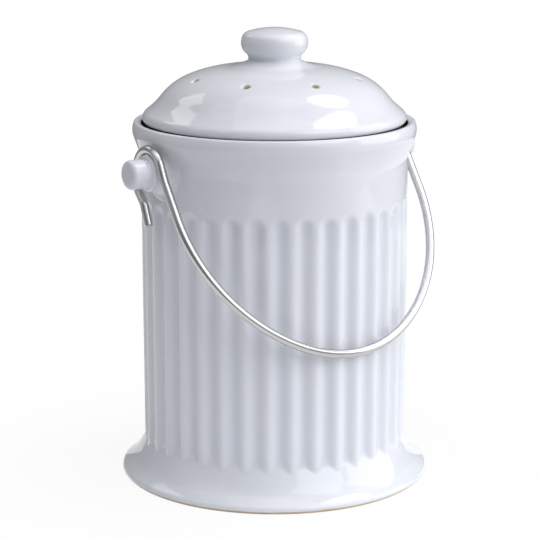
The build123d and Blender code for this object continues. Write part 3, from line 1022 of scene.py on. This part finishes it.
def bailCentreline():
    s = bailSizes
    reach = crockSizes["bodyR"] + s["restGap"] + s["wireR"]
    lean = math.asin(reach / math.hypot(s["drop"], s["armOffset"]))
    lean -= math.atan2(s["armOffset"], s["drop"])
    # The two radii make the side's arc and the bottom's arc meet on the centre line.
    sideC, sideS = math.cos(math.radians(s["sideTurn"])), math.sin(math.radians(s["sideTurn"]))
    bent = s["drop"] - s["straight"]
    scale = 1 - sideC - sideS
    sideR = (s["x"] * (1 - sideS) - sideC * bent) / scale
    bottomR = ((1 - sideC) * bent - sideS * s["x"]) / scale
    moves = [("arc", sideR, -s["sideTurn"]), ("arc", bottomR, s["sideTurn"] - 90)]
    arm, _ = chain((s["x"], 0), -90, moves, s["step"])
    leanS, leanC = math.sin(lean), math.cos(lean)
    armForward = s["armOffset"] * leanC + s["straight"] * leanS
    armUp = s["armOffset"] * leanS - s["straight"] * leanC
    delta = lean - math.radians(s["legLean"])
    corner = (s["hookR"] * math.cos(delta) - s["armOffset"]) / math.sin(delta)
    bendCut = s["armBendR"] * math.tan(delta / 2)
    straight = s["straight"] - s["hookR"] * math.sin(delta) - corner * math.cos(delta) - bendCut
    moves = [
        ("line", straight, 0),
        ("arc", s["armBendR"], -math.degrees(delta)),
        ("line", corner - bendCut, 0),
        ("arc", s["hookR"], 180 - s["legLean"]),
    ]
    moves += filletedMoves(s["tail"], s["tailBends"])
    hook, _ = chain((armForward, armUp), 90 + math.degrees(lean), moves, s["step"])
    # Arm points: x stays, y runs up along the arm. Hook points: x is forward, y is up.
    pivotZ = lugSizes["z"]
    armPath = [(x, -(armForward - y * leanS), pivotZ + armUp + y * leanC) for x, y in arm]
    hookPath = [(s["x"], -x, pivotZ + y) for x, y in hook]
    half = np.array(hookPath[::-1] + armPath[1:])
    other = half[::-1][1:] * np.array([-1, 1, 1])
    return np.vstack([half, other])


# The wire's rings of points and how far along the wire each lies.
def wireRings(path):
    s = bailSizes
    tangents = np.gradient(path, axis=0)
    tangents[0] = path[1] - path[0]
    tangents[-1] = path[-1] - path[-2]
    tangents /= np.linalg.norm(tangents, axis=1)[:, None]
    angles = np.linspace(0, 2 * np.pi, s["around"], endpoint=False)
    endRound = s["endRound"]
    endRings = [(0.0, endRound), (0.3 * endRound, 0.3 * endRound), (endRound, 0.0)]
    side = np.cross(tangents[0], (1, 0, 0))
    rings, along = [], []
    distance = 0.0
    for i, (point, tangent) in enumerate(zip(path, tangents)):
        side = side - tangent * (side @ tangent)
        side /= np.linalg.norm(side)
        circle = np.cos(angles)[:, None] * side
        circle = circle + np.sin(angles)[:, None] * np.cross(tangent, side)
        if i:
            distance += np.linalg.norm(point - path[i - 1])
        steps = [(0.0, 0.0)]
        if i == 0:
            steps = endRings
        elif i == len(path) - 1:
            steps = [(-inward, cut) for inward, cut in reversed(endRings)]
        for shift, cut in steps:
            rings.append(point + tangent * shift + circle * (s["wireR"] - cut))
            along.append(distance + shift)
    return np.array(rings), along


def buildBail():
    s = bailSizes
    columns = s["around"]
    path = bailCentreline()
    rings, along = wireRings(path)
    vertices, faces = rings.reshape(-1, 3), gridFaces(len(rings), columns)
    vertices, faces = closeEnds(vertices, faces, columns, len(rings), path[0], path[-1])
    obj = makeObject("bail_wire", vertices, faces, "bail", wireSteel, "bail_handle")
    uv = obj.data.uv_layers.new(name="alongAround")
    arc = 2 * math.pi * s["wireR"] / columns
    for polygon in obj.data.polygons:
        cells = [divmod(k, columns) for k in polygon.vertices]
        wraps = {column for _, column in cells} >= {0, columns - 1}
        for loopIndex, (row, column) in zip(polygon.loop_indices, cells):
            if row >= len(along):
                uv.data[loopIndex].uv = (0.0, 0.0)
                continue
            across = columns if wraps and column == 0 else column
            uv.data[loopIndex].uv = (along[row], across * arc)
    return obj


bailObject = buildBail()
print("stage: bail")


# A mesh that encloses less than nothing is inside out.
def facesOutward(obj):
    mesh = obj.data
    mesh.calc_loop_triangles()
    total = 0.0
    for triangle in mesh.loop_triangles:
        a, b, c = (mesh.vertices[i].co for i in triangle.vertices)
        total += a.dot(b.cross(c))
    if total < 0:
        mesh.flip_normals()


for built in (crockObject, rightLug, leftLug, lidObject, filterObject, bailObject):
    facesOutward(built)


# The camera was found from the photo. It looks at a point aimZ above the floor, moved sideways
# in the picture.
photoCamera = {
    "pixels": 540,
    "focalPixels": 1996.5,
    "sensor": 36.0,
    "azimuth": -35.0,
    "elevation": 12.89,
    "distance": 1236.8,
    "sideways": -2.72,
    "aimZ": 125.94,
    "clip": (0.05, 20.0),
}

# Azimuths are degrees round from the front, positive to +X, and elevations are degrees up.
# Each patch of the sky is (azimuth, elevation, strength). A lamp's power is in watts, and the
# studio's lengths are metres.
studio = {
    "floorHalf": 0.8,
    "paper": "#F4F5F7",
    "shadowReach": (0.11, 0.24),
    "shadowStrength": 0.08,
    "sky": [(10, 55, 1.45), (190, 20, 0.18)],
    "skyFocus": 4.0,
    "air": "#E9EBF1",
    "room": 0.22,
    "lampDistance": 1.6,
    "lamps": {
        "side_panel": {"azimuth": 58, "elevation": 18, "size": 1.3, "power": 10.4},
        "key_disc": {"azimuth": 72, "elevation": 61, "size": 0.7, "power": 4.0},
        "front_panel": {"azimuth": 8, "elevation": 38, "size": 1.0, "power": 5.6},
        "top_panel": {"azimuth": -60, "elevation": 82, "size": 1.0, "power": 2.8},
        "left_high_panel": {"azimuth": -100, "elevation": 50, "size": 1.0, "power": 2.4},
        "window_panel": {"azimuth": -158, "elevation": 42, "size": 0.5, "power": 1.3},
        "left_low_panel": {"azimuth": -115, "elevation": 15, "size": 1.0, "power": 1.0},
    },
}


def direction(azimuth, elevation):
    a, e = math.radians(azimuth), math.radians(elevation)
    return Vector((math.sin(a) * math.cos(e), -math.cos(a) * math.cos(e), math.sin(e)))


def addLamp(name, settings):
    light = bpy.data.lights.new(name, "AREA")
    light.shape = "DISK" if name.endswith("disc") else "SQUARE"
    light.size = settings["size"]
    light.energy = settings["power"]
    lamp = bpy.data.objects.new(name, light)
    bpy.context.scene.collection.objects.link(lamp)
    toward = direction(settings["azimuth"], settings["elevation"])
    lamp.location = Vector((0, 0, photoCamera["aimZ"] * mm)) + toward * studio["lampDistance"]
    lamp.rotation_mode = "QUATERNION"
    lamp.rotation_quaternion = (-toward).to_track_quat("-Z", "Y")


# Lit by soft patches of sky, mirrored as a dim room, and shown as plain white.
def buildWorld():
    world = bpy.data.worlds.new("studioWorld")
    bpy.context.scene.world = world
    world.use_nodes = True
    tree = world.node_tree
    tree.nodes.clear()
    ray = addNode(tree, "TexCoord", "Generated", {})
    path = addNode(tree, "LightPath", None, {}).outputs
    mirrored = {0: path["Is Glossy Ray"], 1: path["Is Transmission Ray"]}
    mirrored = addNode(tree, "Math", "Value", mirrored, operation="MAXIMUM")
    light = {0: mirrored, 1: studio["room"]}
    light = addNode(tree, "Math", "Value", light, operation="MULTIPLY")
    for azimuth, elevation, strength in studio["sky"]:
        toward = {0: ray, 1: direction(azimuth, elevation)}
        toward = addNode(tree, "VectorMath", "Value", toward, operation="DOT_PRODUCT")
        toward = addNode(tree, "Math", "Value", {0: toward, 1: 0.0}, operation="MAXIMUM")
        patch = {0: toward, 1: studio["skyFocus"]}
        patch = addNode(tree, "Math", "Value", patch, operation="POWER")
        light = {0: patch, 1: strength, 2: light}
        light = addNode(tree, "Math", "Value", light, operation="MULTIPLY_ADD")
    room = {"Color": colour(studio["air"]), "Strength": light}
    room = addNode(tree, "Background", "Background", room)
    white = {"Color": (1, 1, 1, 1), "Strength": 1.0}
    white = addNode(tree, "Background", "Background", white)
    shown = {0: path["Is Camera Ray"], 1: room, 2: white}
    shown = addNode(tree, "MixShader", "Shader", shown)
    addNode(tree, "OutputWorld", None, {"Surface": shown})


# The sweep shows as white, but keeps the object's shadow close to it.
def buildFloor():
    half = studio["floorHalf"]
    corners = [(-half, -half, 0), (half, -half, 0), (half, half, 0), (-half, half, 0)]
    mesh = bpy.data.meshes.new("studio_floor")
    mesh.from_pydata(corners, [], [(0, 1, 2, 3)])
    material, tree = newMaterial("whitePaperSweep")
    paper = addNode(tree, "BsdfDiffuse", "BSDF", {"Color": colour(studio["paper"])})
    glow = addNode(tree, "Emission", "Emission", {"Color": (1, 1, 1, 1), "Strength": 1.0})
    path = addNode(tree, "LightPath", None, {}).outputs
    shown = path["Is Camera Ray"]
    for kind in ("Is Glossy Ray", "Is Transmission Ray"):
        shown = addNode(tree, "Math", "Value", {0: shown, 1: path[kind]}, operation="MAXIMUM")
    point = addNode(tree, "TexCoord", "Object", {})
    away = addNode(tree, "VectorMath", "Value", {0: point}, operation="LENGTH")
    near, far = studio["shadowReach"]
    fade = {"Value": away, "From Min": near, "From Max": far}
    fade["To Min"] = 1 - studio["shadowStrength"]
    fade = addNode(tree, "MapRange", "Result", fade)
    amount = addNode(tree, "Math", "Value", {0: shown, 1: fade}, operation="MULTIPLY")
    mixed = addNode(tree, "MixShader", "Shader", {0: amount, 1: paper, 2: glow})
    addNode(tree, "OutputMaterial", None, {"Surface": mixed})
    mesh.materials.append(material)
    floor = bpy.data.objects.new("studio_floor", mesh)
    bpy.context.scene.collection.objects.link(floor)


def buildCamera():
    s = photoCamera
    back = direction(s["azimuth"], s["elevation"])
    right = direction(s["azimuth"] + 90, 0)
    camera = bpy.data.cameras.new("photo_camera")
    camera.sensor_width = s["sensor"]
    camera.lens = s["focalPixels"] / s["pixels"] * s["sensor"]
    camera.clip_start, camera.clip_end = s["clip"]
    obj = bpy.data.objects.new("photo_camera", camera)
    bpy.context.scene.collection.objects.link(obj)
    aim = Vector((0, 0, s["aimZ"])) + right * s["sideways"]
    obj.location = (aim + back * s["distance"]) * mm
    obj.rotation_mode = "QUATERNION"
    obj.rotation_quaternion = (-back).to_track_quat("-Z", "Y")
    bpy.context.scene.camera = obj


buildWorld()
buildFloor()
for lampName, lampSettings in studio["lamps"].items():
    addLamp(lampName, lampSettings)
buildCamera()
bpy.context.scene.view_settings.view_transform = "Standard"
print("stage: studio")
